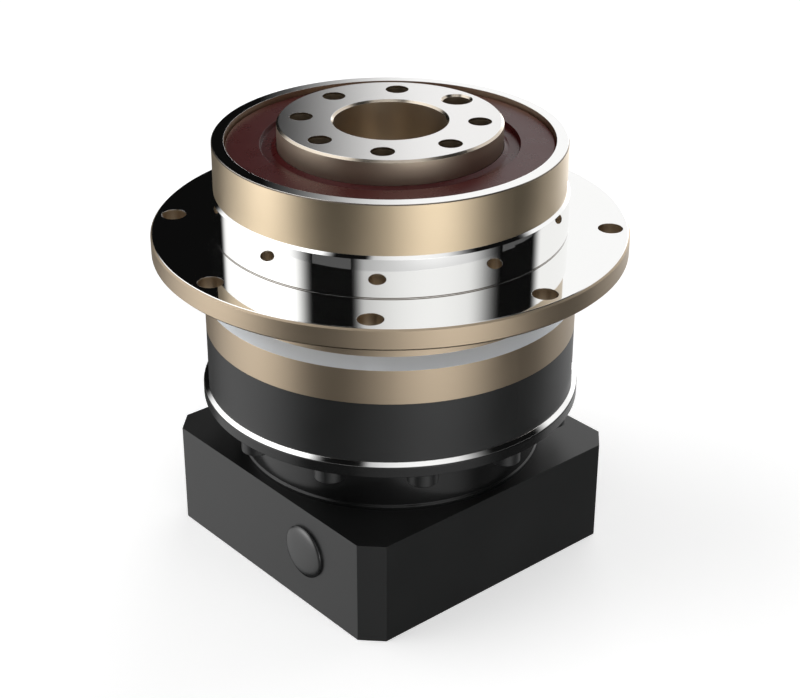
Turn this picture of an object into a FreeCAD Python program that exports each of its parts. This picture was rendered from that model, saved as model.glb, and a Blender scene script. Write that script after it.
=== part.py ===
"""Planetary reducer with helical teeth, a round output flange and a clamp for the motor shaft.

The axis is +Z, the motor face lies at z = 0 and the output face points up.
Lengths are in millimetres and angles in degrees.
"""
import FreeCAD
import Part
import math
import os

import Sketcher

Vector = FreeCAD.Vector
Rotation = FreeCAD.Rotation

SIZES = {
    # Square block at the motor end
    "adapter_side": 60.0,
    "adapter_height": 20.0,
    "corner_cut": 3.6,
    "motor_pilot_diameter": 50.0,
    "motor_pilot_depth": 3.5,
    "motor_bolt_inset": 5.25,
    "motor_bolt_drill": 4.2,
    "motor_bolt_depth": 12.0,
    "spigot_wall": 1.3,
    "spigot_depth": 2.5,
    "plug_hole_diameter": 9.4,
    "plug_depth": 6.0,
    "plug_lip": 0.3,
    "plug_rim": 0.4,
    "plug_dome": 0.7,
    # Input shaft, its clamp and its bearing
    "motor_shaft_diameter": 14.0,
    "hub_diameter": 20.0,
    "hub_step": 0.5,
    "hub_end_wall": 3.8,
    "hub_lead": 2.1,
    "hub_slot_width": 1.2,
    "clamp_screw": 4.0,
    "clamp_ring_wall": 1.6,
    "collar_ring_width": 10.0,
    "sun_stem_diameter": 6.8,
    "input_bearing_outside": 32.0,
    "input_bearing_width": 7.0,
    "input_bearing_ledge": 1.0,
    "input_ball": 3.6,
    "input_ball_count": 9,
    "circlip_thickness": 1.2,
    "circlip_bite": 0.8,
    "circlip_stand": 1.4,
    # Black input housing and the screws through it
    "input_neck_wall": 3.0,
    "input_neck_height": 10.9,
    "input_flange_lip": 1.0,
    "input_flange_thickness": 2.6,
    "input_flange_bevel": 0.8,
    "neck_foot": 0.3,
    "small_screw": 3.0,
    "screw_edge": 2.6,
    "body_bolt_length": 18.0,
    "body_bolt_count": 12,
    "adapter_bolt_length": 14.0,
    "adapter_bolt_grip": 10.0,
    "adapter_bolt_count": 4,
    # Gear set
    "tooth_module": 0.64,
    "helix_angle": 15.0,
    "pressure_angle": 20.0,
    "profile_shift": 0.4,
    "tooth_play": 0.06,
    "sun_teeth": 9,
    "planet_teeth": 36,
    "ring_height": 11.25,
    "ring_margin": 0.525,
    "pin_diameter": 8.0,
    "needle_diameter": 1.9,
    "needle_count": 14,
    "washer_thickness": 0.5,
    "washer_rim": 2.2,
    # Flanged output housing
    "skirt_height": 6.4,
    "skirt_chamfer": 1.75,
    "output_neck_height": 6.6,
    "flange_diameter": 86.0,
    "flange_thickness": 4.0,
    "flange_hole_inset": 3.5,
    "flange_hole_diameter": 4.5,
    "flange_hole_count": 8,
    "pilot_step": 0.5,
    "pilot_height": 7.0,
    "collar_wall": 2.2,
    "collar_height": 9.5,
    "edge_break": 0.4,
    "fine_edge": 0.2,
    "seal_seat_diameter": 58.6,
    "seal_width": 3.2,
    "seal_recess": 1.0,
    "seal_land": 3.0,
    "seal_step": 0.9,
    # Output flange and carrier
    "output_diameter": 40.0,
    "output_rise": 3.0,
    "output_hole_inset": 4.25,
    "output_bolt_drill": 4.2,
    "output_bolt_depth": 8.0,
    "output_bolt_count": 8,
    "dowel_diameter": 5.0,
    "output_bore_diameter": 20.0,
    "output_bore_depth": 10.0,
    "front_cheek_thickness": 5.0,
    "front_cheek_lip": 2.5,
    "rear_cheek_thickness": 3.1,
    # Output bearings
    "nut_thread": 42.0,
    "nut_wall": 3.0,
    "nut_thickness": 2.8,
    "bearing_step": 1.5,
    "bearing_section": 5.0,
    "bearing_width": 6.0,
    "bearing_ball": 3.2,
    "bearing_ball_count": 18,
    "bearing_spacing": 8.0,
    # Clearances and seal rings
    "running_play": 0.07,
    "lip_play": 0.12,
    "end_play": 0.1,
    "fit_play": 0.15,
    "turning_gap": 0.6,
    "o_ring_section": 1.1,
    "o_ring_land": 2.25,
}

PLANET_COUNT = 3
FIRST_PLANET_DIRECTION = 90.0

doc = FreeCAD.newDocument("reducer")
sheet = doc.addObject("Spreadsheet::Sheet", "Sizes")
for row, (alias, number) in enumerate(SIZES.items(), 1):
    sheet.set(f"A{row}", alias)
    sheet.set(f"B{row}", str(number))
    sheet.setAlias(f"B{row}", alias)
doc.recompute()


class Size:
    """A dimension as an expression over the sheet's cells, with its present value."""

    def __init__(self, text, value):
        self.text = text
        self.value = value

    def joined(self, sign, other, value):
        return Size(f"({self.text} {sign} {other.text})", value)

    def __add__(self, other):
        other = as_size(other)
        return self.joined("+", other, self.value + other.value)

    def __sub__(self, other):
        other = as_size(other)
        return self.joined("-", other, self.value - other.value)

    def __mul__(self, other):
        other = as_size(other)
        return self.joined("*", other, self.value * other.value)

    def __truediv__(self, other):
        other = as_size(other)
        return self.joined("/", other, self.value / other.value)

    def __neg__(self):
        return self * -1


def as_size(number):
    return number if isinstance(number, Size) else Size(f"({number})", number)


class Cells:
    """The sheet's cells by alias, each as a Size."""

    def __getattr__(self, alias):
        return Size(f"Sizes.{alias}", float(sheet.get(alias)))


size = Cells()


def cosine(angle):
    return Size(f"cos({angle.text})", math.cos(math.radians(angle.value)))


def larger(first, second):
    return Size(f"max({first.text}; {second.text})", max(first.value, second.value))


def diagonal(first, second):
    """The longest side of a right triangle."""
    return Size(f"hypot({first.text}; {second.text})", math.hypot(first.value, second.value))


def short_side(longest, other):
    """A short side of a right triangle, from the longest and the other short one."""
    return Size(f"cath({longest.text}; {other.text})",
                math.sqrt(longest.value ** 2 - other.value ** 2))


def head_radius(diameter):
    """The head of a socket screw."""
    return diameter * 0.75 + 0.5


def tap_radius(diameter):
    """The hole before the thread is cut; screws carry a plain shank of this size."""
    return diameter * 0.4167


# Radii of the gear set; the ring has the sun's teeth and twice the planet's
ring_teeth = size.sun_teeth + size.planet_teeth * 2
normal_module = size.tooth_module * cosine(size.helix_angle)
planet_circle_r = size.tooth_module * (size.sun_teeth + size.planet_teeth) / 2
planet_tip_r = size.tooth_module * size.planet_teeth / 2 + normal_module * (-size.profile_shift + 1)
ring_tip_r = size.tooth_module * ring_teeth / 2 - normal_module * (size.profile_shift + 1)
window_r = planet_tip_r + size.turning_gap * 1.2
carrier_hole_r = planet_circle_r * 0.45
pin_r = size.pin_diameter / 2
needle_r = size.needle_diameter / 2
needle_circle_r = pin_r + size.running_play + needle_r
planet_bore_r = needle_circle_r + needle_r + size.running_play

# Radii outwards from the thread of the nut to the wide flange
output_r = size.output_diameter / 2
thread_r = size.nut_thread / 2
nut_r = thread_r + size.nut_wall
bearing_bore_r = thread_r + size.bearing_step
bearing_outside_r = bearing_bore_r + size.bearing_section
seal_seat_r = size.seal_seat_diameter / 2
collar_r = seal_seat_r + size.collar_wall
pilot_r = collar_r + size.pilot_step
flange_r = size.flange_diameter / 2

# Radii outwards from the carrier to the black flange; the screws clear its neck and the seal ring
drum_r = ring_tip_r - size.turning_gap
input_cavity_r = drum_r + size.turning_gap
input_neck_r = input_cavity_r + size.input_neck_wall
screw_clear_r = size.small_screw / 2 + size.fit_play
body_screw_r = larger(input_neck_r + size.turning_gap + head_radius(size.small_screw),
                      bearing_outside_r + size.o_ring_land + screw_clear_r)
body_r = body_screw_r + size.screw_edge
input_flange_r = body_r + size.input_flange_lip
o_ring_r = body_screw_r - screw_clear_r - size.o_ring_land / 2

# Radii outwards from the motor shaft to the block's screws
motor_r = size.motor_shaft_diameter / 2
shaft_r = size.hub_diameter / 2
shaft_end_r = shaft_r - size.hub_step
input_seat_r = size.input_bearing_outside / 2
input_seal_r = input_seat_r - size.input_bearing_ledge
clamp_head_r = head_radius(size.clamp_screw)
clamp_seat_r = clamp_head_r + size.fit_play
clamp_offset = shaft_end_r + size.clamp_screw / 2 + size.fit_play
clamp_ring_r = clamp_offset + clamp_seat_r + size.clamp_ring_wall

# The clamp screw's head lies just past the shaft end, and its far corner turns inside the block
clamp_seat = short_side(shaft_end_r + size.fit_play, clamp_offset - clamp_head_r)
clamp_corner_r = diagonal(clamp_offset + clamp_head_r, clamp_seat + size.clamp_screw)
block_cavity_r = larger(clamp_ring_r, clamp_corner_r) + size.turning_gap / 2
spigot_r = block_cavity_r + size.spigot_wall
adapter_screw_r = spigot_r + screw_clear_r + size.turning_gap * 1.5

# Levels up the axis, from the motor face to the output face
level_block = size.adapter_height
level_low_flange = level_block + size.input_neck_height
level_ring = level_low_flange + size.input_flange_thickness
level_skirt = level_ring + size.ring_height
level_skirt_top = level_skirt + size.skirt_height
level_neck = level_skirt_top + size.skirt_chamfer
level_flange = level_neck + size.output_neck_height
level_face = level_flange + size.flange_thickness
level_collar = level_face + size.pilot_height
level_rim = level_collar + size.collar_height
level_output = level_rim + size.output_rise

# Levels inside the output housing, from the rim down
level_seal_top = level_rim - size.seal_recess
level_seal_bottom = level_seal_top - size.seal_width
level_nut_top = level_seal_bottom - size.turning_gap
level_front_top = level_nut_top - size.nut_thickness
level_front_bottom = level_front_top - size.bearing_width
level_rear_top = level_front_bottom - size.bearing_spacing
level_rear_bottom = level_rear_top - size.bearing_width
level_rear_circlip = level_rear_bottom - size.circlip_thickness

# Levels of the gear stage, from the lower carrier cheek up
planet_width = size.ring_height - size.ring_margin * 2
level_planet = level_ring + size.washer_thickness + size.end_play
level_window_top = level_planet + planet_width + size.end_play + size.washer_thickness
level_cheek_top = level_window_top + size.front_cheek_thickness
level_cheek_bottom = level_ring - size.rear_cheek_thickness
level_cavity_floor = level_cheek_bottom - size.turning_gap
level_pin_bottom = level_cheek_bottom + size.edge_break
level_pin_top = level_cheek_top - size.edge_break * 2

# Levels of the input shaft, from the carrier down
level_shaft_top = level_cheek_bottom - size.turning_gap * 2
level_shaft_circlip = level_shaft_top - size.turning_gap
level_input_bearing_top = level_shaft_circlip - size.circlip_thickness
level_input_bearing = level_input_bearing_top - size.input_bearing_width
level_shaft_shoulder = level_input_bearing - size.edge_break
level_stem_bottom = level_shaft_top - size.hub_end_wall
level_spigot = level_block - size.spigot_depth
level_clamp_top = level_spigot - size.turning_gap * 2
level_clamp = level_clamp_top - size.collar_ring_width / 2
level_clamp_bottom = level_clamp_top - size.collar_ring_width
level_shaft_bottom = level_clamp_bottom - size.hub_lead
level_adapter_seat = level_block - size.adapter_bolt_grip


def new_body(label):
    body = doc.addObject("PartDesign::Body", label)
    body.Label = label
    body.AllowCompound = True
    return body


def origin_item(body, role):
    return next(item for item in body.Origin.OriginFeatures if item.Role == role)


def new_sketch(body, plane="XZ_Plane", lift=None, turn=0):
    """A sketch on an origin plane; an upright one is turned about the axis, a flat one lifted."""
    sketch = body.newObject("Sketcher::SketchObject", "outline")
    sketch.AttachmentSupport = [(origin_item(body, plane), "")]
    sketch.MapMode = "FlatFace"
    sketch.AttachmentOffset = FreeCAD.Placement(Vector(), Rotation(Vector(0, 1, 0), turn))
    if lift is not None:
        sketch.setExpression("AttachmentOffset.Base.z", lift.text)
    return sketch


def hold(sketch, geometry, corner, place):
    """Ties a point of the sketch to its place; a plain zero puts it on the sketch's axis."""
    for kind, axis, distance in zip(("DistanceX", "DistanceY"), (-2, -1), place):
        if isinstance(distance, Size):
            tie = Sketcher.Constraint(kind, geometry, corner, distance.value)
            number = sketch.addConstraint(tie)
            sketch.setExpression(f"Constraints[{number}]", distance.text)
        else:
            sketch.addConstraint(Sketcher.Constraint("PointOnObject", geometry, corner, axis))


def flat_vector(place):
    return Vector(*(distance.value if isinstance(distance, Size) else 0 for distance in place), 0)


def draw_outline(sketch, places):
    """A closed outline of straight edges with every corner tied to its place."""
    corners = [flat_vector(place) for place in places]
    count = len(corners)
    for start, end in zip(corners, corners[1:] + corners[:1]):
        sketch.addGeometry(Part.LineSegment(start, end), False)
    for edge in range(count):
        sketch.addConstraint(Sketcher.Constraint("Coincident", edge, 2, (edge + 1) % count, 1))
    for edge, place in enumerate(places):
        hold(sketch, edge, 1, place)


def turned(body, places, cut=False, own_axis=False, angle=360, **on):
    """Turns an outline about +Z, or about its own closing edge, as metal or as a cut."""
    sketch = new_sketch(body, **on)
    draw_outline(sketch, places)
    axis = "V_Axis"
    if own_axis:
        ends = (flat_vector(places[-1]), flat_vector(places[0]))
        line = sketch.addGeometry(Part.LineSegment(*ends), True)
        closing = len(places) - 1
        sketch.addConstraint(Sketcher.Constraint("Coincident", line, 1, closing, 1))
        sketch.addConstraint(Sketcher.Constraint("Coincident", line, 2, closing, 2))
        axis = "Axis0"
    kind = "PartDesign::Groove" if cut else "PartDesign::Revolution"
    feature = body.newObject(kind, "turning")
    feature.Profile = sketch
    feature.ReferenceAxis = (sketch, [axis])
    feature.Angle = angle
    return feature


def drilled(body, centre, profile, across=False, **on):
    """Cuts a round hole from (radius, distance) pairs along an upright line at the centre."""
    places = [(centre, profile[0][1])]
    places += [(centre + radius, distance) for radius, distance in profile]
    places.append((centre, profile[-1][1]))
    if across:
        places = [(along, aside) for aside, along in places]
    return turned(body, places, cut=True, own_axis=True, **on)


def ring_groove(body, centre_r, level, radius):
    """Cuts a groove of round section about +Z."""
    sketch = new_sketch(body)
    circle = Part.Circle(flat_vector((centre_r, level)), Vector(0, 0, 1), radius.value)
    sketch.addGeometry(circle, False)
    hold(sketch, 0, 3, (centre_r, level))
    number = sketch.addConstraint(Sketcher.Constraint("Radius", 0, radius.value))
    sketch.setExpression(f"Constraints[{number}]", radius.text)
    groove = body.newObject("PartDesign::Groove", "groove")
    groove.Profile = sketch
    groove.ReferenceAxis = (sketch, ["V_Axis"])
    groove.Angle = 360


def repeated(body, features, count):
    """Repeats features round +Z."""
    pattern = body.newObject("PartDesign::PolarPattern", "repeat")
    pattern.Originals = features
    pattern.Axis = (origin_item(body, "Z_Axis"), [""])
    pattern.Angle = 360
    pattern.setExpression("Occurrences", as_size(count).text)
    body.Tip = pattern


def pushed(body, places, depth, lift=None, cut=False, reverse=False, **on):
    """Pads or pockets a flat outline."""
    sketch = new_sketch(body, plane="XY_Plane", lift=lift, **on)
    draw_outline(sketch, places)
    feature = body.newObject("PartDesign::Pocket" if cut else "PartDesign::Pad", "push")
    feature.Profile = sketch
    feature.setExpression("Length", depth.text)
    feature.Reversed = reverse
    return feature


def ring_outline(inner, outer, bottom, top):
    return [(inner, bottom), (outer, bottom), (outer, top), (inner, top)]


def plain_ring(label, inner, outer, bottom, top, angle=360):
    body = new_body(label)
    turned(body, ring_outline(inner, outer, bottom, top), angle=angle)
    return body


def output_housing():
    neck_r = body_r - size.skirt_chamfer
    shoulder_r = bearing_outside_r - size.bearing_step
    edge = size.edge_break
    fine = size.fine_edge
    body = new_body("output_housing")
    turned(body, [
        (bearing_outside_r, level_skirt),
        (body_r, level_skirt),
        (body_r, level_skirt_top),
        (neck_r, level_neck),
        (neck_r, level_flange),
        (flange_r - edge, level_flange),
        (flange_r, level_flange + edge),
        (flange_r, level_face - edge),
        (flange_r - edge, level_face),
        (pilot_r, level_face),
        (pilot_r, level_collar),
        (collar_r, level_collar + size.pilot_step),
        (collar_r, level_rim - fine),
        (collar_r - fine, level_rim),
        (seal_seat_r, level_rim),
        (seal_seat_r, level_seal_bottom),
        (bearing_outside_r, level_seal_bottom),
        (bearing_outside_r, level_front_bottom),
        (shoulder_r, level_front_bottom),
        (shoulder_r, level_rear_top),
        (bearing_outside_r, level_rear_top),
    ])
    circlip_groove(body, bearing_outside_r, level_rear_circlip)
    o_ring_recess(body, level_skirt)
    hole_r = size.flange_hole_diameter / 2
    hole = drilled(body, flange_r - size.flange_hole_inset,
                   [(hole_r, level_flange), (hole_r, level_face)])
    repeated(body, [hole], size.flange_hole_count)
    tap_r = tap_radius(size.small_screw)
    thread_top = level_low_flange + size.body_bolt_length + edge * 2
    hole = drilled(body, body_screw_r, [(tap_r, level_skirt), (tap_r, thread_top)])
    repeated(body, [hole], size.body_bolt_count)


def circlip_groove(body, wall_r, bottom, side=1):
    """Cuts a groove into a round wall, outwards for a bore and inwards for a shaft."""
    floor_r = wall_r + (size.circlip_bite + size.end_play) * side
    open_r = wall_r - size.circlip_bite * side
    turned(body, ring_outline(open_r, floor_r, bottom, bottom + size.circlip_thickness), cut=True)


def circlip(label, wall_r, bottom, side=1):
    """An open spring ring that bites into a bore's wall, or into a shaft."""
    plain_ring(label, wall_r - size.circlip_stand * side, wall_r + size.circlip_bite * side,
               bottom, bottom + size.circlip_thickness, angle=330)


def o_ring_recess(body, mouth, side=1):
    """Cuts the seat of a seal ring into a flat face, upwards or downwards."""
    half = size.o_ring_section * 0.55
    floor = mouth + size.o_ring_section * 0.95 * side
    turned(body, ring_outline(o_ring_r - half, o_ring_r + half, mouth, floor), cut=True)


def seal_ring(label, mouth, side=1):
    """A round ring that fills its seat and touches the face across the joint."""
    ring = doc.addObject("Part::Torus", label)
    ring.Label = label
    section_r = size.o_ring_section * 0.95 / 2
    ring.setExpression("Radius1", o_ring_r.text)
    ring.setExpression("Radius2", section_r.text)
    ring.setExpression("Placement.Base.z", (mouth + section_r * side).text)


def motor_adapter():
    half = size.adapter_side / 2
    short = half - size.corner_cut
    body = new_body("motor_adapter")
    pushed(body, [
        (half, -short), (half, short), (short, half), (-short, half),
        (-half, short), (-half, -short), (-short, -half), (short, -half),
    ], size.adapter_height)
    motor_pilot_r = size.motor_pilot_diameter / 2
    turned(body, [
        (0, 0),
        (motor_pilot_r, 0),
        (motor_pilot_r, size.motor_pilot_depth),
        (block_cavity_r, size.motor_pilot_depth),
        (block_cavity_r, level_spigot),
        (spigot_r, level_spigot),
        (spigot_r, level_block),
        (0, level_block),
    ], cut=True)
    tap_r = size.motor_bolt_drill / 2
    corner_r = (half - size.motor_bolt_inset) * math.sqrt(2)
    edge = size.edge_break
    hole = drilled(body, corner_r, [
        (tap_r + edge, 0), (tap_r, edge), (tap_r, size.motor_bolt_depth)], turn=45)
    repeated(body, [hole], 4)
    counterbore_r = head_radius(size.small_screw) + size.fit_play
    hole = drilled(body, adapter_screw_r, [
        (counterbore_r, 0), (counterbore_r, level_adapter_seat),
        (screw_clear_r, level_adapter_seat), (screw_clear_r, level_block)])
    repeated(body, [hole], size.adapter_bolt_count)
    plug_hole_r = size.plug_hole_diameter / 2
    drilled(body, clamp_offset, [
        (plug_hole_r, -half), (plug_hole_r, -clamp_offset)], plane="XY_Plane", lift=level_clamp)


def access_plug():
    """A push-in plug: a stem inside the side hole of the block and a domed head on its face."""
    face = size.adapter_side / 2
    hole_r = size.plug_hole_diameter / 2
    stem_r = hole_r - size.running_play
    head_r = hole_r + size.plug_lip
    stem_bottom = face - size.plug_depth
    head_top = face + size.plug_rim
    body = new_body("access_plug")
    turned(body, [
        (0, stem_bottom), (stem_r, stem_bottom), (stem_r, face),
        (head_r, face), (head_r, head_top), (0, head_top)])
    dome = body.newObject("PartDesign::AdditiveEllipsoid", "dome")
    dome.setExpression("Radius1", size.plug_dome.text)
    dome.setExpression("Radius2", head_r.text)
    dome.Angle1 = 0
    dome.setExpression("Placement.Base.z", head_top.text)
    place_across(body, Rotation(Vector(1, 0, 0), 90))
    body.setExpression("Placement.Base.x", clamp_offset.text)


def place_across(body, rotation):
    """Turns a body made along +Z to lie across the block at the clamp's level."""
    body.Placement = FreeCAD.Placement(Vector(), rotation)
    body.setExpression("Placement.Base.z", level_clamp.text)


def input_housing():
    foot = size.neck_foot
    body = new_body("input_housing")
    turned(body, [
        (input_seal_r, level_spigot),
        (spigot_r, level_spigot),
        (spigot_r, level_block),
        (input_neck_r + foot, level_block),
        (input_neck_r + foot, level_block + foot * 2),
        (input_neck_r, level_block + foot * 3),
        (input_neck_r, level_low_flange),
        (input_flange_r, level_low_flange),
        (input_flange_r, level_ring - size.input_flange_bevel),
        (input_flange_r - size.input_flange_bevel, level_ring),
        (input_cavity_r, level_ring),
        (input_cavity_r, level_cavity_floor),
        (input_seat_r, level_cavity_floor),
        (input_seat_r, level_input_bearing),
        (input_seal_r, level_input_bearing),
    ])
    circlip_groove(body, input_seat_r, level_input_bearing_top)
    o_ring_recess(body, level_ring, -1)
    hole = drilled(body, body_screw_r,
                   [(screw_clear_r, level_low_flange), (screw_clear_r, level_ring)])
    repeated(body, [hole], size.body_bolt_count)
    tap_r = tap_radius(size.small_screw)
    thread_top = level_adapter_seat + size.adapter_bolt_length + size.edge_break * 2
    hole = drilled(body, adapter_screw_r, [(tap_r, level_block), (tap_r, thread_top)])
    repeated(body, [hole], size.adapter_bolt_count)


def cap_screws(label, circle_r, seat, diameter, length, count):
    """Socket screws round +Z with their heads below the seat; threads fill their tapped holes."""
    head_r = head_radius(diameter)
    shank_r = tap_radius(diameter)
    edge = size.edge_break / 2
    head_bottom = seat - diameter
    body = new_body(label)
    screw = turned(body, [
        (circle_r, head_bottom), (circle_r + head_r - edge, head_bottom),
        (circle_r + head_r, head_bottom + edge), (circle_r + head_r, seat),
        (circle_r + shank_r, seat), (circle_r + shank_r, seat + length),
        (circle_r, seat + length)], own_axis=True)
    corner = diameter * 0.48
    flat = corner * 0.866
    socket = pushed(body, [
        (circle_r + corner, 0), (circle_r + corner / 2, flat), (circle_r - corner / 2, flat),
        (circle_r - corner, 0), (circle_r - corner / 2, -flat), (circle_r + corner / 2, -flat),
    ], diameter / 2, lift=head_bottom, cut=True, reverse=True)
    if as_size(count).value > 1:
        repeated(body, [screw, socket], count)
    return body


def output_seal():
    """A shaft seal with a lower inner land beside the shaft."""
    lip_r = output_r + size.lip_play
    land_r = output_r + size.seal_land
    level_land = level_seal_top - size.seal_step
    edge = size.edge_break
    body = new_body("output_seal")
    turned(body, [
        (lip_r, level_seal_bottom),
        (seal_seat_r, level_seal_bottom),
        (seal_seat_r, level_seal_top - edge),
        (seal_seat_r - edge, level_seal_top),
        (land_r, level_seal_top),
        (land_r - edge / 2, level_land),
        (lip_r + size.seal_step, level_land),
        (lip_r, level_seal_top - edge),
    ])


def output_carrier():
    """The output flange, the bearing seats and the planet cage, turned from one piece."""
    bore_r = size.output_bore_diameter / 2
    cheek_r = bearing_bore_r + size.front_cheek_lip
    shoulder_r = bearing_bore_r + size.bearing_step
    edge = size.edge_break
    bore_bottom = level_output - size.output_bore_depth
    drum_top = level_skirt + size.turning_gap
    body = new_body("output_carrier")
    turned(body, [
        (carrier_hole_r, level_cheek_bottom),
        (drum_r, level_cheek_bottom),
        (drum_r, drum_top),
        (cheek_r, drum_top),
        (cheek_r, level_cheek_top),
        (shoulder_r, level_cheek_top),
        (shoulder_r, level_rear_bottom),
        (bearing_bore_r, level_rear_bottom),
        (bearing_bore_r, level_front_top),
        (thread_r, level_front_top),
        (thread_r, level_nut_top),
        (output_r, level_nut_top),
        (output_r, level_output - edge),
        (output_r - edge, level_output),
        (bore_r + edge, level_output),
        (bore_r, level_output - edge),
        (bore_r, bore_bottom),
        (0, bore_bottom),
        (0, level_window_top),
        (carrier_hole_r, level_window_top),
    ])
    hole_circle_r = output_r - size.output_hole_inset
    tap_r = size.output_bolt_drill / 2
    hole_bottom = level_output - size.output_bolt_depth
    hole = drilled(body, hole_circle_r, [(tap_r, hole_bottom), (tap_r, level_output)])
    repeated(body, [hole], size.output_bolt_count)
    dowel_r = size.dowel_diameter / 2
    drilled(body, hole_circle_r, [
        (dowel_r, hole_bottom), (dowel_r, level_output - edge), (dowel_r + edge, level_output)],
        turn=90)
    window = drilled(body, planet_circle_r, [
        (window_r, level_ring), (window_r, level_window_top)], turn=FIRST_PLANET_DIRECTION)
    repeated(body, [window], PLANET_COUNT)
    seat = drilled(body, planet_circle_r, [
        (pin_r, level_pin_bottom), (pin_r, level_pin_top)], turn=FIRST_PLANET_DIRECTION)
    repeated(body, [seat], PLANET_COUNT)


def ball_bearing(prefix, bore_r, outside_r, bottom, width, ball, count):
    """Two grooved rings, the balls between them and the ball cage."""
    ball_r = ball / 2
    groove_r = ball_r + size.running_play
    circle_r = (bore_r + outside_r) / 2
    middle = bottom + width / 2
    top = bottom + width
    land = ball_r * 0.5
    outer = plain_ring(prefix + "_outer_ring", circle_r + land, outside_r, bottom, top)
    ring_groove(outer, circle_r, middle, groove_r)
    inner = plain_ring(prefix + "_inner_ring", bore_r, circle_r - land, bottom, top)
    ring_groove(inner, circle_r, middle, groove_r)

    balls = new_body(prefix + "_balls")
    first = balls.newObject("PartDesign::AdditiveSphere", "ball")
    first.setExpression("Radius", ball_r.text)
    first.setExpression("Placement.Base.x", circle_r.text)
    first.setExpression("Placement.Base.z", middle.text)
    repeated(balls, [first], count)

    half_height = ball_r * 1.375
    cage = plain_ring(prefix + "_cage", circle_r - land * 0.6, circle_r + land * 0.6,
                      middle - half_height, middle + half_height)
    pocket = drilled(cage, middle, [(groove_r, circle_r - ball_r), (groove_r, circle_r + ball_r)],
                     across=True)
    repeated(cage, [pocket], count)


def preload_nut():
    """A slotted nut that holds the front bearing's inner ring."""
    body = plain_ring("preload_nut", thread_r, nut_r, level_front_top, level_nut_top)
    half_slot = size.nut_wall / 2
    floor_r = nut_r - size.nut_wall * 0.4
    open_r = nut_r + size.nut_wall * 0.4
    slot = pushed(body, [
        (floor_r, -half_slot), (open_r, -half_slot), (open_r, half_slot), (floor_r, half_slot),
    ], size.nut_thickness / 2, lift=level_nut_top, cut=True)
    repeated(body, [slot], 4)


def input_shaft():
    """A hollow shaft: slotted clamp end below, bearing seat above, a hole for the sun's stem."""
    step = size.hub_step
    stem_r = size.sun_stem_diameter / 2
    body = new_body("input_shaft")
    turned(body, [
        (motor_r + step, level_shaft_bottom),
        (shaft_end_r, level_shaft_bottom),
        (shaft_end_r, level_spigot),
        (shaft_r, level_spigot),
        (shaft_r, level_shaft_shoulder),
        (shaft_r + step * 2, level_shaft_shoulder),
        (shaft_r + step * 2, level_input_bearing),
        (shaft_r, level_input_bearing),
        (shaft_r, level_shaft_top),
        (stem_r, level_shaft_top),
        (stem_r, level_stem_bottom),
        (motor_r, level_stem_bottom),
        (motor_r, level_shaft_bottom + step),
    ])
    circlip_groove(body, shaft_r, level_input_bearing_top, -1)
    half_slot = size.hub_slot_width / 2
    slot = pushed(body, [
        (motor_r - step, -half_slot), (shaft_r + step, -half_slot),
        (shaft_r + step, half_slot), (motor_r - step, half_slot),
    ], level_clamp_top - level_shaft_bottom, lift=level_shaft_bottom, cut=True, reverse=True)
    repeated(body, [slot], 4)


def clamp_collar():
    """A split ring round the slotted shaft end, with a seat for the clamp screw across the split."""
    step = size.hub_step
    body = plain_ring("clamp_collar", shaft_end_r, clamp_ring_r, level_clamp_bottom, level_clamp_top)
    half_slot = size.hub_slot_width / 2
    pushed(body, [
        (shaft_end_r - step, -half_slot), (clamp_ring_r + step, -half_slot),
        (clamp_ring_r + step, half_slot), (shaft_end_r - step, half_slot),
    ], size.collar_ring_width, lift=level_clamp_top, cut=True)
    tap_r = tap_radius(size.clamp_screw)
    drilled(body, clamp_offset, [
        (clamp_seat_r, -clamp_ring_r), (clamp_seat_r, -clamp_seat),
        (tap_r, -clamp_seat), (tap_r, clamp_ring_r)], plane="XY_Plane", lift=level_clamp)


def involute_angle(base_r, radius):
    """The polar angle that an involute has swept at a radius, in radians."""
    slope = math.sqrt(max((radius / base_r) ** 2 - 1, 0))
    return slope - math.atan(slope)


def tooth_form(teeth, shift, inner_teeth=False):
    """Pitch radius, root and tip radii, pressure angle and half tooth angle in the end plane.

    For inner teeth the form is that of the space between them, as a gear with outer teeth.
    """
    helix = math.radians(size.helix_angle.value)
    module = size.tooth_module.value
    normal_module = module * math.cos(helix)
    pressure = math.atan(math.tan(math.radians(size.pressure_angle.value)) / math.cos(helix))
    pitch_r = module * teeth / 2
    thickness = math.pi * module / 2 + 2 * shift * normal_module * math.tan(pressure)
    play = size.tooth_play.value if inner_teeth else -size.tooth_play.value
    rise, fall = (1.25, 1.0) if inner_teeth else (1.0, 1.25)
    return {
        "pitch_r": pitch_r,
        "tip_r": pitch_r + normal_module * (rise + shift),
        "root_r": pitch_r - normal_module * (fall - shift),
        "pressure": pressure,
        "half_angle": (thickness + play) / 2 / pitch_r,
    }


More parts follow.
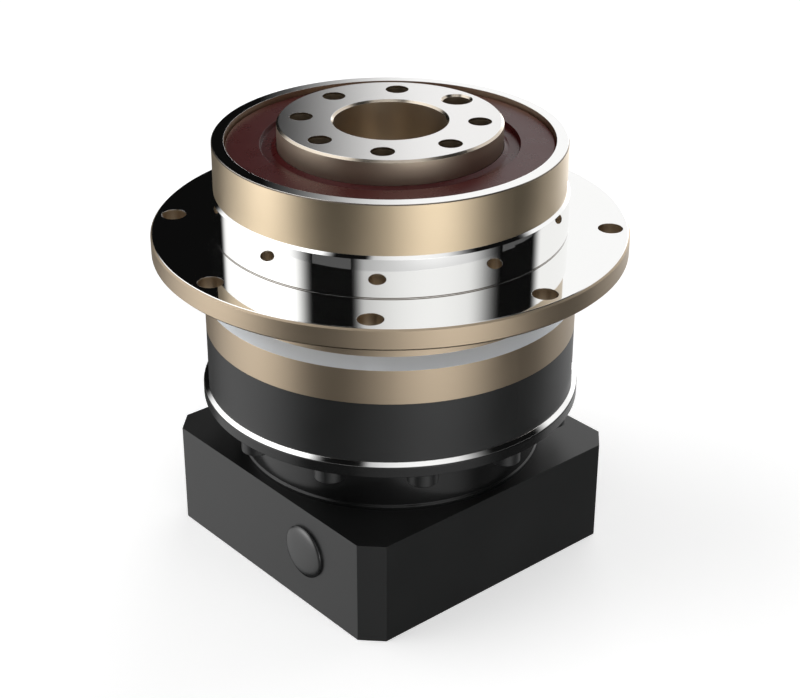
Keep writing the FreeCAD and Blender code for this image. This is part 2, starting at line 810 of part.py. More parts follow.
def tooth_wire(teeth, form, level, turn):
    """The closed end outline of a gear whose first tooth points along the turn angle."""
    base_r = form["pitch_r"] * math.cos(form["pressure"])
    start_r = max(base_r, form["root_r"])
    pitch_sweep = involute_angle(base_r, form["pitch_r"])
    step = 2 * math.pi / teeth

    def half_angle(radius):
        return form["half_angle"] + pitch_sweep - involute_angle(base_r, radius)

    def at(radius, angle):
        return Vector(radius * math.cos(angle), radius * math.sin(angle), level)

    flank = [start_r, (start_r + form["tip_r"]) / 2, form["tip_r"]]
    edges = []
    for tooth in range(teeth):
        middle = turn + tooth * step
        rising = [at(radius, middle - half_angle(radius)) for radius in flank]
        falling = [at(radius, middle + half_angle(radius)) for radius in reversed(flank)]
        next_start = at(start_r, middle + step - half_angle(start_r))
        root = [at(form["root_r"], middle + angle)
                for angle in (half_angle(start_r), step / 2, step - half_angle(start_r))]
        edges.append(Part.Arc(*rising).toShape())
        edges.append(Part.Arc(rising[2], at(form["tip_r"], middle), falling[0]).toShape())
        edges.append(Part.Arc(*falling).toShape())
        if start_r > form["root_r"]:
            edges.append(Part.makeLine(falling[2], root[0]))
        edges.append(Part.Arc(*root).toShape())
        if start_r > form["root_r"]:
            edges.append(Part.makeLine(root[2], next_start))
    return Part.Wire(edges)


def helical_solid(teeth, form, hand, bottom, height, direction):
    """A toothed solid whose outline turns with height; all hands agree at the planets' level."""
    rate = hand * math.tan(math.radians(size.helix_angle.value)) / form["pitch_r"]
    turn = math.radians(direction) + rate * (bottom - level_planet).value
    wire = tooth_wire(teeth, form, bottom.value, turn)
    lead = 2 * math.pi / abs(rate)
    spine = Part.makeHelix(lead, height.value, form["pitch_r"], 0, rate < 0)
    spine.translate(Vector(0, 0, bottom.value))
    sweep = Part.BRepOffsetAPI.MakePipeShell(spine)
    sweep.setFrenetMode(True)
    sweep.add(wire, False, False)
    sweep.build()
    ends = [Part.Face(wire), Part.Face(Part.Wire(sweep.lastShape().Edges))]
    shell = Part.makeShell(sweep.shape().Faces + ends)
    shell.sewShape()
    return Part.makeSolid(shell)


def shaped(label, shape):
    feature = doc.addObject("Part::Feature", label)
    feature.Label = label
    feature.Shape = shape
    return feature


def ring_gear():
    """The black ring: a drilled blank cut by a helical core that runs over both ends."""
    teeth = round(ring_teeth.value)
    form = tooth_form(teeth, -size.profile_shift.value, inner_teeth=True)
    overrun = size.ring_margin * 2
    core = shaped("ring_core", helical_solid(teeth, form, -1, level_ring - overrun,
                                             size.ring_height + overrun * 2,
                                             FIRST_PLANET_DIRECTION))
    blank_r = size.tooth_module * (ring_teeth / 2 - 3)
    blank = plain_ring("ring_blank", blank_r, body_r, level_ring, level_skirt)
    hole = drilled(blank, body_screw_r,
                   [(screw_clear_r, level_ring), (screw_clear_r, level_skirt)])
    repeated(blank, [hole], size.body_bolt_count)
    ring = doc.addObject("Part::Cut", "ring_gear")
    ring.Label = "ring_gear"
    ring.Base = blank
    ring.Tool = core


def sun_gear():
    """The pinion on a plain stem that is pressed into the input shaft."""
    teeth = round(size.sun_teeth.value)
    form = tooth_form(teeth, size.profile_shift.value)
    half_pitch = 180 / teeth
    bottom = level_planet - size.turning_gap / 2
    height = level_planet + planet_width - bottom
    pinion = helical_solid(teeth, form, 1, bottom, height, FIRST_PLANET_DIRECTION + half_pitch)
    stem_height = bottom - level_stem_bottom
    stem = Part.makeCylinder((size.sun_stem_diameter / 2).value, stem_height.value,
                             Vector(0, 0, level_stem_bottom.value))
    shaped("sun_gear", pinion.fuse(stem).removeSplitter())


def planet_place(index):
    turn = Rotation(Vector(0, 0, 1), FIRST_PLANET_DIRECTION + 360 / PLANET_COUNT * index)
    return FreeCAD.Placement(turn.multVec(Vector(planet_circle_r.value, 0, 0)), turn)


def planet_set(index):
    """One planet gear with its pin, needles and the washers at both ends."""
    number = index + 1
    place = planet_place(index)
    teeth = round(size.planet_teeth.value)
    form = tooth_form(teeth, -size.profile_shift.value)
    gear = helical_solid(teeth, form, -1, level_planet, planet_width, 0)
    bore_bottom = level_planet - size.ring_margin
    bore_height = planet_width + size.ring_margin * 2
    bore = Part.makeCylinder(planet_bore_r.value, bore_height.value,
                             Vector(0, 0, bore_bottom.value))
    shaped(f"planet_gear_{number}", gear.cut(bore)).Placement = place

    pin = new_body(f"planet_pin_{number}")
    turned(pin, ring_outline(0, pin_r, level_pin_bottom, level_pin_top))
    pin.Placement = place

    needles = new_body(f"planet_needles_{number}")
    needle_bottom = level_planet + size.turning_gap / 2
    needle_top = level_planet + planet_width - size.turning_gap / 2
    first = turned(needles, ring_outline(needle_circle_r, needle_circle_r + needle_r,
                                         needle_bottom, needle_top), own_axis=True)
    repeated(needles, [first], size.needle_count)
    needles.Placement = place

    washers = new_body(f"planet_washers_{number}")
    washer_r = planet_bore_r + size.washer_rim
    for bottom in (level_ring, level_window_top - size.washer_thickness):
        turned(washers, ring_outline(pin_r, washer_r, bottom, bottom + size.washer_thickness))
    washers.Placement = place


def build_static():
    output_housing()
    ring_gear()
    input_housing()
    motor_adapter()
    access_plug()
    cap_screws("body_screws", body_screw_r, level_low_flange, size.small_screw,
               size.body_bolt_length, size.body_bolt_count)
    cap_screws("adapter_screws", adapter_screw_r, level_adapter_seat, size.small_screw,
               size.adapter_bolt_length, size.adapter_bolt_count)
    output_seal()
    plain_ring("input_seal", shaft_r + size.lip_play, input_seal_r, level_spigot + size.fit_play,
               level_shaft_shoulder - size.fit_play * 2)
    seal_ring("housing_o_ring", level_skirt)
    seal_ring("input_o_ring", level_ring, -1)
    circlip("rear_bearing_circlip", bearing_outside_r, level_rear_circlip)
    circlip("input_bearing_circlip", input_seat_r, level_input_bearing_top)


def build_output():
    output_carrier()
    ball_bearing("front_bearing", bearing_bore_r, bearing_outside_r, level_front_bottom,
                 size.bearing_width, size.bearing_ball, size.bearing_ball_count)
    ball_bearing("rear_bearing", bearing_bore_r, bearing_outside_r, level_rear_bottom,
                 size.bearing_width, size.bearing_ball, size.bearing_ball_count)
    plain_ring("bearing_spacer", bearing_bore_r, bearing_bore_r + size.bearing_step,
               level_rear_top, level_front_bottom)
    preload_nut()
    for index in range(PLANET_COUNT):
        planet_set(index)


def build_input():
    input_shaft()
    sun_gear()
    clamp_collar()
    screw = cap_screws("clamp_screw", clamp_offset, -clamp_seat, size.clamp_screw,
                       size.clamp_screw * 2.75, 1)
    place_across(screw, Rotation(Vector(1, 0, 0), -90))
    ball_bearing("input_bearing", shaft_r, input_seat_r, level_input_bearing,
                 size.input_bearing_width, size.input_ball, size.input_ball_count)
    circlip("shaft_circlip", shaft_r, level_input_bearing_top, -1)


def write_parts():
    """Checks every object, then writes each finished piece under its label."""
    helpers = {"ring_core", "ring_blank"}
    os.makedirs("parts", exist_ok=True)
    for item in doc.Objects:
        if "Invalid" in item.State or "Error" in item.State:
            raise RuntimeError(f"{item.Label} failed: {item.State}")
    pieces = [item for item in doc.Objects
              if item.TypeId in ("PartDesign::Body", "Part::Cut", "Part::Feature", "Part::Torus")
              and item.Label not in helpers]
    for piece in pieces:
        if piece.Shape.isNull() or not piece.Shape.isValid():
            raise RuntimeError(f"{piece.Label} has no valid shape")
        piece.Shape.exportStep(f"parts/{piece.Label}.step")


build_static()
build_output()
build_input()
doc.recompute()
write_parts()
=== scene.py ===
"""Looks of a flange-output planetary reducer: metals, rubber, studio light and camera."""

import math

import bpy
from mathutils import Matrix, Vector

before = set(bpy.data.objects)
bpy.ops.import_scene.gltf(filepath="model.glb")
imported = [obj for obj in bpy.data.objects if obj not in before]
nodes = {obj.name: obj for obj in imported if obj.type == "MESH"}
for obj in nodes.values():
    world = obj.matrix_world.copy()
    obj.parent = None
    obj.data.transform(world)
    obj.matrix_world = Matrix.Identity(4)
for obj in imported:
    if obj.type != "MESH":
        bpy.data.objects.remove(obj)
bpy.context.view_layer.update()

MM = 0.001

# Heights up the axis where the finish changes
BLACK_FLANGE_TOP = 33.5 * MM
SKIRT_TOP = 51.15 * MM
NECK = 52.9 * MM
FLANGE_FACE = 63.5 * MM
COLLAR = 71.0 * MM
RIM = 80.0 * MM
OUTPUT_FACE = 83.0 * MM

# Radii of the turned forms
OUTPUT_RADIUS = 20.0 * MM
COLLAR_RADIUS = 31.5 * MM
BODY_RADIUS = 34.0 * MM

# Widths of the narrow lines and edges
FOOT_SHADE_LINE = 0.22 * MM
BRIGHT_BEVEL = 0.64 * MM
FINE_EDGE = 0.2 * MM
OUTPUT_EDGE = 0.4 * MM

# Masks: how far off their face they start or end, and half the width of their soft limit
SEAT_MARGIN = 0.1 * MM
SKIN = 0.03 * MM
MASK_SOFTNESS = 0.02 * MM

# Depth of the fine relief, and the radius that the shading gives to edges
RELIEF_DEPTH = 0.02 * MM
ROUNDED_EDGE = 0.15 * MM
CRISP_EDGE = 0.05 * MM
GROUND_EDGE = 0.03 * MM

# Roughness: a pair runs from the clearest to the dullest spot, and an extra is added to a pair
MIRROR_ROUGH = (0.03, 0.05)
CHAMFER_EXTRA = 0.4
SATIN_ROUGH = (0.31, 0.36)
LOWER_SATIN_EXTRA = 0.05
BRUSHED_EXTRA = 0.06
OXIDE_ROUGH = (0.36, 0.46)
BLACK_FLANGE_ROUGH = (0.20, 0.26)
BLOCK_ROUGH = (0.30, 0.40)
BEVEL_ROUGH = 0.07
GROUND_ROUGH = (0.09, 0.12)
GROUND_EXTRA = 0.04
OUTPUT_SIDE_ROUGH = 0.40
OUTPUT_BORE_ROUGH = 0.34
OUTPUT_EDGE_ROUGH = 0.2
MOULDED_EXTRA = 0.12
INNER_EXTRA = 0.1

# Strength of the tool marks on the satin and on the bright faces of the champagne metal
SATIN_MARKS = 0.10
BRIGHT_MARKS = 0.004

# The chamfer is only partly metallic, and inner metals are darker by a factor in spots
CHAMFER_METALLIC = 0.38
INNER_DARKENING = 0.8

# Camera, fitted to the photograph: degrees, metres and a full-frame sensor in millimetres.
# Its azimuth is counted from -Y, which lies at AZIMUTH_ZERO from +X.
AZIMUTH_ZERO = -90.0
CAMERA_AZIMUTH = 49.6
CAMERA_ELEVATION = 27.65
CAMERA_DISTANCE = 0.32547
CAMERA_TARGET = Vector((0.0, 0.0, 0.0375))
CAMERA_LENS = 78.18
CAMERA_SENSOR = 36.0
CAMERA_SHIFT = 0.0123
CAMERA_CLIP = 0.01

# Studio walls, in metres and degrees: the rows of a softbox, the levels of its two lowest rows,
# the dim wall behind the softboxes, and the angle by which a cloth's droop is counted
SOFTBOX_RADIUS = 0.9
SOFTBOX_HEIGHTS = (-0.9, -0.34, -0.12, 0.3, 2.2)
FOOT_LEVELS = (0.55, 1.1)
LOW_WALL_RADIUS = 0.95
LOW_WALL_HEIGHTS = (-0.9, -0.34, -0.12)
LOW_WALL_LEVELS = (1.0, 1.0, 0.0)
LOW_WALL_STRENGTH = 0.09
WALL_STEPS = 60
DROOP_ANGLE = 50.0

# Lamp over the object, in metres and watts, and the strength of the studio's stray light
TOP_SIZE = 0.9
TOP_HEIGHT = 1.3
TOP_ENERGY = 2.0
STRAY_LIGHT = 0.004

# Floor, in metres: it lies just below the object, and goes over to white between two radii
FLOOR_HALF = 4.0
FLOOR_DROP = 0.05 * MM
FLOOR_FADE_START = 0.25
FLOOR_FADE_END = 0.8
FLOOR_GLOW = (0.45, 1.0)


def rgb(red, green, blue):
    return (red, green, blue, 1.0)


def scaled(colour, factor):
    """The same colour, brighter or darker."""
    return rgb(*(factor * channel for channel in colour[:3]))


WHITE = rgb(1.0, 1.0, 1.0)
BLACK = rgb(0.0, 0.0, 0.0)
CHAMPAGNE = rgb(0.58, 0.47, 0.33)
CHAMPAGNE_DARK = rgb(0.50, 0.405, 0.275)
# Painted shade: the champagne below the flange, darker than the rest of the housing
CHAMPAGNE_PAINTED_SHADE = rgb(0.465, 0.375, 0.272)
POLISHED = rgb(0.91, 0.91, 0.90)
COOL_SILVER = rgb(0.84, 0.88, 0.92)
# Painted shade: the colour of the dark lines painted at the rim's fine edge and at the polished seat's
# foot
PAINTED_SHADE_LINE = rgb(0.16, 0.135, 0.11)
OXIDE_DARK = rgb(0.005, 0.0054, 0.0054)
OXIDE_LIGHT = rgb(0.010, 0.0104, 0.0104)
BORE_DARK = rgb(0.50, 0.42, 0.33)
BORE_LIGHT = rgb(0.57, 0.49, 0.39)
CUT_EDGE = rgb(0.60, 0.53, 0.44)
GROUND_STEEL = rgb(0.82, 0.81, 0.80)
PLUG_DARK = rgb(0.010, 0.0105, 0.0105)
PLUG_LIGHT = rgb(0.014, 0.0145, 0.0145)
SEAL_DARK = rgb(0.060, 0.008, 0.008)
SEAL_LIGHT = rgb(0.074, 0.012, 0.012)
CAGE_DARK = rgb(0.42, 0.34, 0.22)
CAGE_LIGHT = rgb(0.5, 0.42, 0.28)
GEAR_STEEL = rgb(0.55, 0.54, 0.52)
BEARING_STEEL = rgb(0.72, 0.72, 0.72)
SPRING_STEEL = rgb(0.14, 0.14, 0.14)
TURNED_STEEL = rgb(0.5, 0.5, 0.5)
BRONZE = rgb(0.55, 0.36, 0.17)
FLOOR_DARK = rgb(0.88, 0.88, 0.88)
FLOOR_LIGHT = rgb(0.92, 0.92, 0.92)

# Anodised black as shares of its level
ANODISED_DARK = rgb(0.8, 0.85, 0.85)
ANODISED_LIGHT = rgb(1.2, 1.25, 1.25)


class Shading:
    """A node material under construction, with short calls for the nodes used here."""

    def __init__(self, name):
        self.material = bpy.data.materials.new(name)
        self.material.use_nodes = True
        self.tree = self.material.node_tree
        self.shader = self.tree.nodes["Principled BSDF"]

    def node(self, kind, inputs=None, **settings):
        """Adds a node with its settings, and with links or constants on its inputs."""
        made = self.tree.nodes.new(kind)
        for key, value in settings.items():
            setattr(made, key, value)
        for key, value in (inputs or {}).items():
            self.put(made.inputs[key], value)
        return made

    def put(self, socket, value):
        """Links a socket, or sets a constant on the socket itself."""
        if isinstance(value, bpy.types.NodeSocket):
            self.tree.links.new(value, socket)
        else:
            socket.default_value = value

    def set(self, **inputs):
        """Sets inputs of the shader, named with underscores for spaces."""
        for key, value in inputs.items():
            self.put(self.shader.inputs[key.replace("_", " ")], value)

    def place(self):
        return self.node("ShaderNodeTexCoord").outputs["Object"]

    def split(self, vector):
        return self.node("ShaderNodeSeparateXYZ", {0: vector}).outputs

    def compute(self, operation, first, second=0.0):
        """Arithmetic on one or two values."""
        made = self.node("ShaderNodeMath", {0: first, 1: second}, operation=operation)
        return made.outputs[0]

    def radius(self, parts):
        """Distance from the axis."""
        square = self.compute("ADD", self.compute("MULTIPLY", parts[0], parts[0]),
                              self.compute("MULTIPLY", parts[1], parts[1]))
        return self.compute("SQRT", square)

    def above(self, value, level):
        """Goes from 0 to 1 where the value passes the level."""
        made = self.node("ShaderNodeMapRange", {"Value": value, "From Min": level - MASK_SOFTNESS,
                                                "From Max": level + MASK_SOFTNESS})
        return made.outputs[0]

    def between(self, value, low, high):
        return self.compute("SUBTRACT", self.above(value, low), self.above(value, high))

    def noise(self, vector, scale, detail=3.0):
        made = self.node("ShaderNodeTexNoise", {"Vector": vector, "Scale": scale, "Detail": detail})
        return made.outputs["Fac"]

    def span(self, factor, low, high):
        """Maps a factor of 0 to 1 onto a range."""
        made = self.node("ShaderNodeMapRange", {"Value": factor, "To Min": low, "To Max": high})
        return made.outputs[0]

    def mix(self, factor, first, second):
        """Mixes two colours, which are sockets 6 and 7 of the node."""
        made = self.node("ShaderNodeMix", {0: factor, 6: first, 7: second}, data_type="RGBA")
        return made.outputs[2]

    def blend(self, factor, first, second):
        """Mixes two numbers, which are sockets 2 and 3 of the node."""
        made = self.node("ShaderNodeMix", {0: factor, 2: first, 3: second})
        return made.outputs[0]

    def bump(self, height, strength, edge=ROUNDED_EDGE):
        """Fine relief, with edges rounded a little in the shading."""
        rounded = self.node("ShaderNodeBevel", {"Radius": edge}, samples=4)
        made = self.node("ShaderNodeBump", {"Height": height, "Strength": strength,
                                            "Distance": RELIEF_DEPTH, "Normal": rounded.outputs[0]})
        self.set(Normal=made.outputs[0])


def turned_rings(shade, parts, scale):
    """Fine tool marks that run round the axis: noise of height and radius only."""
    around = shade.node("ShaderNodeCombineXYZ", {"X": shade.radius(parts), "Z": parts[2]})
    return shade.noise(around.outputs[0], scale, detail=2.0)


def bright_faces(shade, height, chamfer):
    """Mask of the polished seat, the rim and the chamfer."""
    seat = shade.between(height, FLANGE_FACE - SEAT_MARGIN, COLLAR)
    rim = shade.above(height, RIM - SKIN)
    polished = shade.compute("MAXIMUM", seat, rim)
    return shade.compute("MAXIMUM", polished, chamfer)


def painted_rim_line(shade, parts):
    """Mask of the fine edge outside the rim, which gets a painted dark reflection."""
    high = shade.between(parts[2], RIM - FINE_EDGE, RIM - SKIN)
    outside = shade.above(shade.radius(parts), COLLAR_RADIUS - FINE_EDGE)
    return shade.compute("MULTIPLY", high, outside)


def champagne_metal():
    """Satin champagne body, duller below the flange and darker there by painted shade, with a bright
    chamfer, polished seats, a painted shade line at the seat's foot and a painted dark reflection at the
    rim.
    """
    shade = Shading("champagne_metal")
    place = shade.place()
    parts = shade.split(place)
    height = parts[2]
    cloud = shade.noise(place, scale=90.0)
    marks = turned_rings(shade, parts, scale=5200.0)
    upper = shade.above(height, FLANGE_FACE)
    chamfer = shade.between(height, SKIRT_TOP, NECK)
    bright = bright_faces(shade, height, chamfer)
    # Painted shade: a thin dark line round the foot of the polished seat, in its corner with the flange
    foot = shade.between(height, FLANGE_FACE + SKIN, FLANGE_FACE + FOOT_SHADE_LINE)

    # Below the flange face the colour is darker: painted shade under the flange
    gold = shade.mix(upper, CHAMPAGNE_PAINTED_SHADE, shade.mix(cloud, CHAMPAGNE_DARK, CHAMPAGNE))
    # Painted dark reflection: a dark line on the fine edge outside the rim
    gold_with_painted_rim = shade.mix(painted_rim_line(shade, parts), gold, PAINTED_SHADE_LINE)
    silver = shade.mix(chamfer, POLISHED, COOL_SILVER)
    colour = shade.mix(bright, gold_with_painted_rim, silver)
    shade.set(Base_Color=shade.mix(foot, colour, PAINTED_SHADE_LINE))
    shade.set(Metallic=shade.span(chamfer, 1.0, CHAMFER_METALLIC))

    duller = shade.span(upper, LOWER_SATIN_EXTRA, 0.0)
    satin = shade.compute("ADD", shade.span(cloud, *SATIN_ROUGH), duller)
    brushed = shade.compute("ADD", satin, shade.span(marks, 0.0, BRUSHED_EXTRA))
    blasted = shade.compute("MULTIPLY", chamfer, CHAMFER_EXTRA)
    mirror = shade.compute("ADD", shade.span(cloud, *MIRROR_ROUGH), blasted)
    shade.set(Roughness=shade.blend(bright, brushed, mirror))
    shade.bump(marks, shade.blend(bright, SATIN_MARKS, BRIGHT_MARKS), edge=CRISP_EDGE)
    return shade.material


def black_steel():
    """Black oxide on turned steel: even, with a soft sheen."""
    shade = Shading("black_steel")
    place = shade.place()
    cloud = shade.noise(place, scale=120.0)
    marks = turned_rings(shade, shade.split(place), scale=4200.0)
    shade.set(Base_Color=shade.mix(cloud, OXIDE_DARK, OXIDE_LIGHT))
    shade.set(Roughness=shade.span(cloud, *OXIDE_ROUGH))
    shade.bump(marks, strength=0.08)
    return shade.material


def black_anodised(name, level, rough, bevel=False):
    """Black anodised aluminium with a fine blasted grain; a flange's bevel is cut bright."""
    shade = Shading(name)
    place = shade.place()
    grain = shade.noise(place, scale=6500.0, detail=2.0)
    cloud = shade.noise(place, scale=60.0)
    colour = shade.mix(cloud, scaled(ANODISED_DARK, level), scaled(ANODISED_LIGHT, level))
    satin = shade.span(cloud, *rough)
    if bevel:
        parts = shade.split(place)
        cut = shade.compute("MULTIPLY", shade.above(parts[2], BLACK_FLANGE_TOP - BRIGHT_BEVEL),
                            shade.above(shade.radius(parts), BODY_RADIUS))
        colour = shade.mix(cut, colour, POLISHED)
        satin = shade.blend(cut, satin, BEVEL_ROUGH)
        shade.set(Metallic=cut)
    shade.set(Base_Color=colour, Roughness=satin)
    shade.bump(grain, strength=0.06)
    return shade.material


def moulded(name, dark, light, rough, gloss=0.5):
    """Moulded rubber or plastic with a soft sheen and slight mottling."""
    shade = Shading(name)
    place = shade.place()
    cloud = shade.noise(place, scale=250.0)
    grain = shade.noise(place, scale=5000.0, detail=2.0)
    shade.set(Base_Color=shade.mix(cloud, dark, light), Specular_IOR_Level=gloss)
    shade.set(Roughness=shade.span(cloud, rough, rough + MOULDED_EXTRA))
    shade.bump(grain, strength=0.05)
    return shade.material


def output_steel():
    """The output flange: ground face, bright cut edge, and a champagne tint on side and holes."""
    shade = Shading("output_steel")
    place = shade.place()
    parts = shade.split(place)
    cloud = shade.noise(place, scale=140.0)
    marks = turned_rings(shade, parts, scale=6000.0)
    face = shade.above(parts[2], OUTPUT_FACE - SKIN)
    edge = shade.between(parts[2], OUTPUT_FACE - OUTPUT_EDGE, OUTPUT_FACE - SKIN)
    outside = shade.above(shade.radius(parts), OUTPUT_RADIUS - SKIN)

    tint = shade.mix(edge, shade.mix(cloud, BORE_DARK, BORE_LIGHT), CUT_EDGE)
    shade.set(Base_Color=shade.mix(face, tint, GROUND_STEEL), Metallic=1.0)

    ground = shade.compute("ADD", shade.span(cloud, *GROUND_ROUGH), shade.span(marks, 0.0, GROUND_EXTRA))
    side = shade.span(outside, OUTPUT_BORE_ROUGH, OUTPUT_SIDE_ROUGH)
    shade.set(Roughness=shade.blend(face, shade.blend(edge, side, OUTPUT_EDGE_ROUGH), ground))
    shade.bump(marks, strength=0.012, edge=GROUND_EDGE)
    return shade.material


def inner_metal(name, colour, rough):
    """Ground or turned metal of the inner pieces."""
    shade = Shading(name)
    place = shade.place()
    cloud = shade.noise(place, scale=300.0)
    marks = turned_rings(shade, shade.split(place), scale=5000.0)
    shade.set(Base_Color=shade.mix(cloud, scaled(colour, INNER_DARKENING), colour), Metallic=1.0)
    shade.set(Roughness=shade.span(cloud, rough, rough + INNER_EXTRA))
    shade.bump(marks, strength=0.04)
    return shade.material


def paint(material, *words):
    """Gives a material to every node whose name holds one of the words."""
    for name, node in nodes.items():
        if any(word in name for word in words):
            node.data.materials.clear()
            node.data.materials.append(material)


def paint_outside():
    paint(champagne_metal(), "output_housing")
    paint(black_steel(), "ring_gear", "_screw")
    # The input housing's black is set darker than the block's: painted shade under the champagne flange
    paint(black_anodised("black_flange_painted_shade", level=0.004, rough=BLACK_FLANGE_ROUGH, bevel=True),
          "input_housing")
    paint(black_anodised("black_anodised", level=0.009, rough=BLOCK_ROUGH), "motor_adapter")
    paint(moulded("plug_rubber", PLUG_DARK, PLUG_LIGHT, rough=0.16, gloss=0.65), "access_plug", "_o_ring")
    paint(moulded("seal_rubber", SEAL_DARK, SEAL_LIGHT, rough=0.22, gloss=0.16), "_seal")
    paint(output_steel(), "output_carrier")


def paint_inside():
    paint(inner_metal("gear_steel", GEAR_STEEL, rough=0.22), "sun_gear", "planet_gear", "planet_pin")
    paint(inner_metal("bearing_steel", BEARING_STEEL, rough=0.1),
          "_outer_ring", "_inner_ring", "_balls", "_needles")
    paint(inner_metal("spring_steel", SPRING_STEEL, rough=0.35), "_circlip")
    paint(inner_metal("turned_steel", TURNED_STEEL, rough=0.3),
          "input_shaft", "clamp_collar", "bearing_spacer", "preload_nut")
    paint(inner_metal("bronze", BRONZE, rough=0.3), "_washers")
    paint(moulded("cage_plastic", CAGE_DARK, CAGE_LIGHT, rough=0.4), "_cage")


def add_to_scene(name, data):
    made = bpy.data.objects.new(name, data)
    bpy.context.scene.collection.objects.link(made)
    return made


def set_camera():
    """A camera at the photograph's viewing angle."""
    azimuth = math.radians(CAMERA_AZIMUTH)
    elevation = math.radians(CAMERA_ELEVATION)
    back = Vector((math.sin(azimuth) * math.cos(elevation), -math.cos(azimuth) * math.cos(elevation),
                   math.sin(elevation)))
    data = bpy.data.cameras.new("camera")
    data.lens = CAMERA_LENS
    data.sensor_width = CAMERA_SENSOR
    data.shift_x = CAMERA_SHIFT
    data.clip_start = CAMERA_CLIP
    camera = add_to_scene("camera", data)
    camera.location = CAMERA_TARGET + back * CAMERA_DISTANCE
    camera.rotation_euler = back.to_track_quat("Z", "Y").to_euler()
    bpy.context.scene.camera = camera


def wall_light(name, strength):
    """Emission that follows the wall's own glow value, which differs from point to point."""
    material = bpy.data.materials.new(name)
    material.use_nodes = True
    tree = material.node_tree
    tree.nodes.clear()
    value = tree.nodes.new("ShaderNodeAttribute")
    value.attribute_name = "glow"
    level = tree.nodes.new("ShaderNodeMath")
    level.operation = "MULTIPLY"
    level.inputs[1].default_value = strength
    emission = tree.nodes.new("ShaderNodeEmission")
    output = tree.nodes.new("ShaderNodeOutputMaterial")
    tree.links.new(value.outputs["Fac"], level.inputs[0])
    tree.links.new(level.outputs[0], emission.inputs["Strength"])
    tree.links.new(emission.outputs[0], output.inputs[0])
    return material


def glowing_wall(name, radius, start, end, heights, glow, strength):
    """A wall bent round the axis between two angles; glow(angle, row) gives its level at each point.

    Angles are counted in degrees from the camera, and right is plus.
    """
    vertices, levels = [], []
    for step in range(WALL_STEPS + 1):
        angle = start + (end - start) * step / WALL_STEPS
        turn = math.radians(AZIMUTH_ZERO + CAMERA_AZIMUTH + angle)
        for row, height in enumerate(heights):
            vertices.append((radius * math.cos(turn), radius * math.sin(turn), height))
            levels.append(glow(angle, row))

    count = len(heights)
    faces = []
    for step in range(WALL_STEPS):
        for row in range(count - 1):
            corner = count * step + row
            faces.append((corner, corner + count, corner + count + 1, corner + 1))

    mesh = bpy.data.meshes.new(name)
    mesh.from_pydata(vertices, [], faces)
    mesh.attributes.new("glow", "FLOAT", "POINT").data.foreach_set("value", levels)
    mesh.materials.append(wall_light(name, strength))
    wall = add_to_scene(name, mesh)
    wall.visible_camera = False


def smooth(share):
    """Eases from 0 to 1."""
    return share * share * (3 - 2 * share)


def softbox(name, start, end, fade_in, fade_out, strength, foot, droop,
            lamp_angle, lamp_width, lamp_level):
    """A curved softbox, dimmer below the horizon by the factor foot.

    It fades over the given angles inside its two ends. The lamp behind the cloth shows as a soft
    bright spot at mid height, and DROOP_ANGLE away from it the cloth is dimmer by the share droop.
    """
    # Levels of the rows, from the lowest to the highest
    lowest, low = FOOT_LEVELS
    cloth = (lowest * foot, low * foot, 0.0, 1.0, 1.0)
    lamp = (0.0, 0.0, lamp_level, 0.0, 0.0)

    def glow(angle, row):
        soft = smooth(min((angle - start) / fade_in, (end - angle) / fade_out, 1.0))
        spot = math.exp(-((angle - lamp_angle) / lamp_width) ** 2)
        spread = 1.0 - droop * ((angle - lamp_angle) / DROOP_ANGLE) ** 2
        return soft * (cloth[row] * spread + lamp[row] * spot)

    glowing_wall(name, SOFTBOX_RADIUS, start, end, SOFTBOX_HEIGHTS, glow, strength)


def low_wall():
    """A dim wall all round below the horizon, seen in the gaps between the softboxes."""
    def glow(angle, row):
        return LOW_WALL_LEVELS[row]

    glowing_wall("low_wall", LOW_WALL_RADIUS, start=-180, end=180, heights=LOW_WALL_HEIGHTS, glow=glow,
                 strength=LOW_WALL_STRENGTH)


def top_lamp():
    """A wide, weak lamp over the object."""
    data = bpy.data.lights.new("softbox_top", "AREA")
    data.shape = "DISK"
    data.size = TOP_SIZE
    data.energy = TOP_ENERGY
    lamp = add_to_scene("softbox_top", data)
    lamp.location = (0.0, 0.0, TOP_HEIGHT)


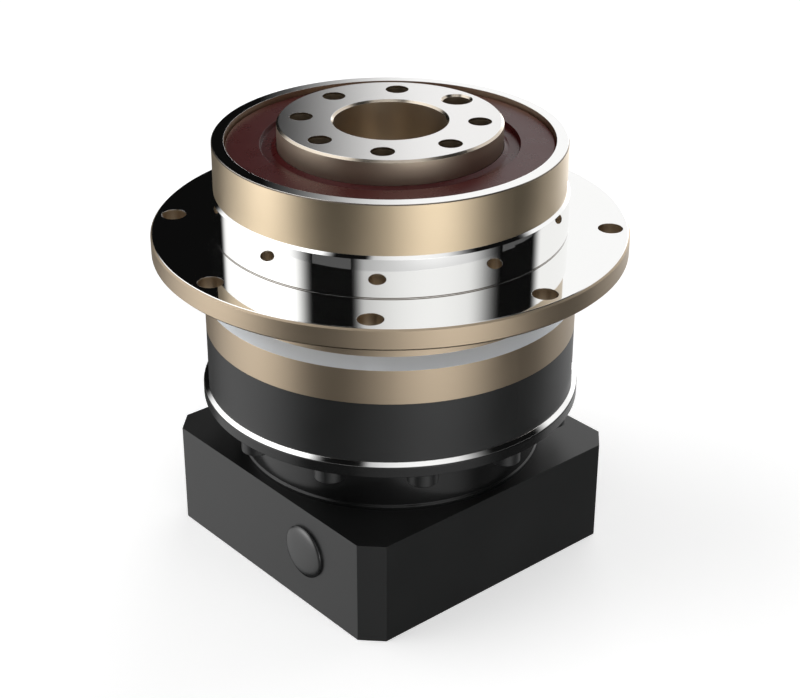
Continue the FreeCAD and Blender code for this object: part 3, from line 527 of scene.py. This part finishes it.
def set_world():
    """Faint stray light, and plain white where the camera looks past the floor."""
    world = bpy.data.worlds.new("studio")
    bpy.context.scene.world = world
    world.use_nodes = True
    tree = world.node_tree
    path = tree.nodes.new("ShaderNodeLightPath")
    stray = tree.nodes["Background"]
    stray.inputs["Color"].default_value = WHITE
    stray.inputs["Strength"].default_value = STRAY_LIGHT
    white = tree.nodes.new("ShaderNodeBackground")
    white.inputs["Color"].default_value = WHITE
    mix = tree.nodes.new("ShaderNodeMixShader")
    tree.links.new(path.outputs["Is Camera Ray"], mix.inputs[0])
    tree.links.new(stray.outputs[0], mix.inputs[1])
    tree.links.new(white.outputs[0], mix.inputs[2])
    tree.links.new(mix.outputs[0], tree.nodes["World Output"].inputs[0])


def set_studio():
    softbox("softbox_left", start=-136, end=-49, fade_in=9, fade_out=16, strength=1.6, foot=0.64,
            droop=0.35, lamp_angle=-82, lamp_width=18, lamp_level=2.9)
    softbox("softbox_front", start=-24, end=74, fade_in=9, fade_out=26, strength=1.03, foot=0.66,
            droop=0.55, lamp_angle=27, lamp_width=21, lamp_level=4.9)
    softbox("softbox_right", start=100, end=186, fade_in=10, fade_out=8, strength=1.03, foot=0.65,
            droop=0.0, lamp_angle=162, lamp_width=28, lamp_level=4.6)
    low_wall()
    top_lamp()
    set_world()


def floor_material():
    """Pale and mottled round the object, and plain white light far from it."""
    shade = Shading("floor")
    place = shade.place()
    fade = shade.node("ShaderNodeMapRange", {"Value": shade.radius(shade.split(place)),
                                             "From Min": FLOOR_FADE_START, "From Max": FLOOR_FADE_END},
                      interpolation_type="SMOOTHSTEP")
    far = fade.outputs[0]
    pale = shade.mix(shade.noise(place, scale=6.0), FLOOR_DARK, FLOOR_LIGHT)
    shade.set(Base_Color=shade.mix(far, pale, BLACK), Roughness=1.0, Specular_IOR_Level=0.0)
    shade.set(Emission_Color=WHITE, Emission_Strength=shade.span(far, *FLOOR_GLOW))
    return shade.material


def set_floor():
    """A wide pale floor; it is hidden from mirrors, which see the studio round it."""
    half = FLOOR_HALF
    mesh = bpy.data.meshes.new("floor")
    mesh.from_pydata([(-half, -half, 0), (half, -half, 0), (half, half, 0), (-half, half, 0)], [],
                     [(0, 1, 2, 3)])
    mesh.materials.append(floor_material())
    floor = add_to_scene("floor", mesh)
    floor.location = (0.0, 0.0, -FLOOR_DROP)
    floor.visible_glossy = False


paint_outside()
paint_inside()
set_camera()
set_studio()
set_floor()
bpy.context.scene.view_settings.view_transform = "Standard"
